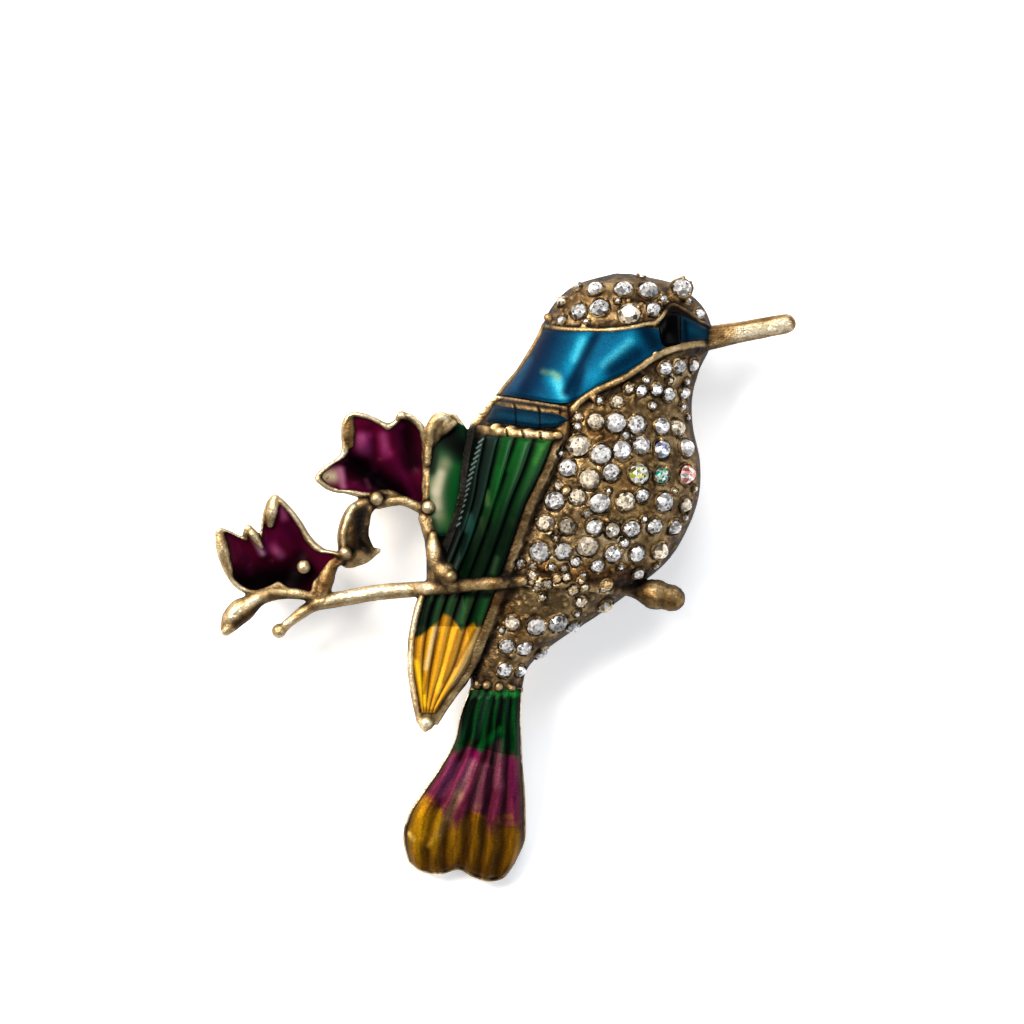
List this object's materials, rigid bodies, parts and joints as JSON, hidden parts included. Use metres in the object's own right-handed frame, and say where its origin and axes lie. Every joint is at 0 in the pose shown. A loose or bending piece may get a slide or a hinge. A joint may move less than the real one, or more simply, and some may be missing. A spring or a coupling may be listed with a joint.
{
  "type": "bird brooch",
  "caption": "Cast gilt bird brooch on a flowering branch, with enamel fills, fields of cut rhinestones and a pin fitting on its back.",
  "frame": {"origin": "centre of the bounding box, at the height of the floor that the brooch lies on", "axes": "+Z out of the front of the brooch, +Y towards the crown, +X towards the beak"},
  "size_m": [0.0523, 0.0552, 0.0118],
  "materials": {
    "antique_gilt": "antique gilt cast metal, matte in the recesses and polished on the rims",
    "pin_metal": "smooth gilt metal",
    "nape_blue": "translucent blue enamel with sparkle, glossy",
    "collar_blue": "translucent blue enamel, glossy",
    "lore_blue": "dark blue enamel, glossy",
    "eye_black": "black enamel, glossy",
    "wing_green": "translucent green enamel, glossy",
    "wing_teal": "dark teal enamel with light strokes, glossy",
    "wing_yellow": "golden yellow enamel, glossy",
    "leaf_green": "white to green enamel, glossy",
    "tail_green": "translucent green enamel, glossy",
    "tail_purple": "translucent purple enamel, glossy",
    "tail_yellow": "yellow brown enamel, glossy",
    "flower_magenta": "magenta to burgundy enamel, glossy",
    "clear_stone": "cut rhinestone, foiled and clear"
  },
  "bodies": {
    "root": {"gilt_casting": "antique_gilt", "nape_enamel": "nape_blue", "collar_enamel": "collar_blue", "lore_enamel": "lore_blue", "eye": "eye_black", "wing_green_enamel": "wing_green", "wing_teal_enamel": "wing_teal", "wing_yellow_enamel": "wing_yellow", "leaf_enamel": "leaf_green", "tail_green_enamel": "tail_green", "tail_purple_enamel": "tail_purple", "tail_yellow_enamel": "tail_yellow", "upper_flower_enamel": "flower_magenta", "lower_flower_enamel": "flower_magenta", "crown_stones": "clear_stone", "breast_stones": "clear_stone", "vent_stones": "clear_stone", "pin_back": "pin_metal"}
  },
  "joints": []
}
